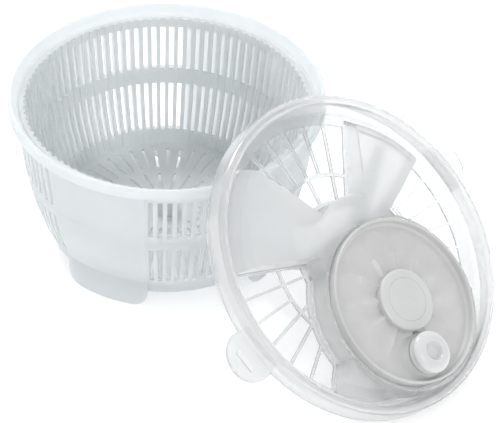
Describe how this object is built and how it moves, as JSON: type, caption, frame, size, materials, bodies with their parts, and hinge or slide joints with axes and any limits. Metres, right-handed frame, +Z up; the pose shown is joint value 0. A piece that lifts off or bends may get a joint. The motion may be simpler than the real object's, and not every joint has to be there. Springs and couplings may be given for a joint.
{
  "type": "salad spinner",
  "caption": "Crank salad spinner: slotted bowl on feet with a spinning basket, and a clear geared lid with a crank disc and knob, lifted off and leaning on the bowl's rim.",
  "frame": {"origin": "on the surface the spinner stands on, under the middle of the bowl and leaning lid together", "axes": "+Z up, +X from the bowl towards the foot of the leaning lid, +Y to the left of that"},
  "size_m": [0.4266, 0.3016, 0.1796],
  "materials": {
    "bowl_plastic": "frosted translucent",
    "basket_plastic": "frosted translucent",
    "clear_plastic": "clear polished",
    "disc_plastic": "milky satin",
    "cap_plastic": "satin",
    "bush_plastic": "moulded",
    "gear_plastic": "moulded",
    "driver_plastic": "moulded",
    "steel": "turned"
  },
  "bodies": {
    "bowl": {"outer_bowl": "bowl_plastic", "pivot_pin": "steel"},
    "spinning_basket": {"basket": "basket_plastic", "pivot_bush": "bush_plastic"},
    "lid_body": {"lid": "clear_plastic", "shaft_bush": "bush_plastic", "crank_axle": "steel", "crank_washer": "steel", "crank_screw": "steel"},
    "crank": {"crank_disc": "disc_plastic", "crank_bush": "bush_plastic", "hub_cap": "cap_plastic", "ring_gear": "gear_plastic", "ring_gear_screws": "steel", "knob_pin": "steel"},
    "crank_knob": {"knob": "cap_plastic", "knob_cap": "cap_plastic"},
    "driver": {"pinion_gear": "gear_plastic", "drive_shaft": "steel", "shaft_washer": "bush_plastic", "basket_driver": "driver_plastic", "driver_screw": "steel"}
  },
  "joints": [
    {"name": "basket_spin", "type": "hinge", "parent": "bowl", "child": "spinning_basket", "pos_m": [-0.0883, 0.0217, 0.02], "axis": [0, 0, 1], "continuous": true},
    {"name": "lid_lift", "type": "slide", "parent": "bowl", "child": "lid_body", "axis": [0, 0, 1], "range_m": [0, 0.25]},
    {"name": "crank_turn", "type": "hinge", "parent": "lid_body", "child": "crank", "pos_m": [0.15696, 0, 0.06717], "axis": [0.66, 0, 0.7513], "continuous": true},
    {"name": "knob_spin", "type": "hinge", "parent": "crank", "child": "crank_knob", "pos_m": [0.19437, -0.01452, 0.04761], "axis": [0.66, 0, 0.7513], "continuous": true},
    {"name": "driver_spin", "type": "hinge", "parent": "lid_body", "child": "driver", "pos_m": [0.1143, 0, 0.09133], "axis": [0.66, 0, 0.7513], "continuous": true}
  ],
  "couplings": [
    {"joint": "driver_spin", "follows": "crank_turn", "ratio": 5}
  ]
}
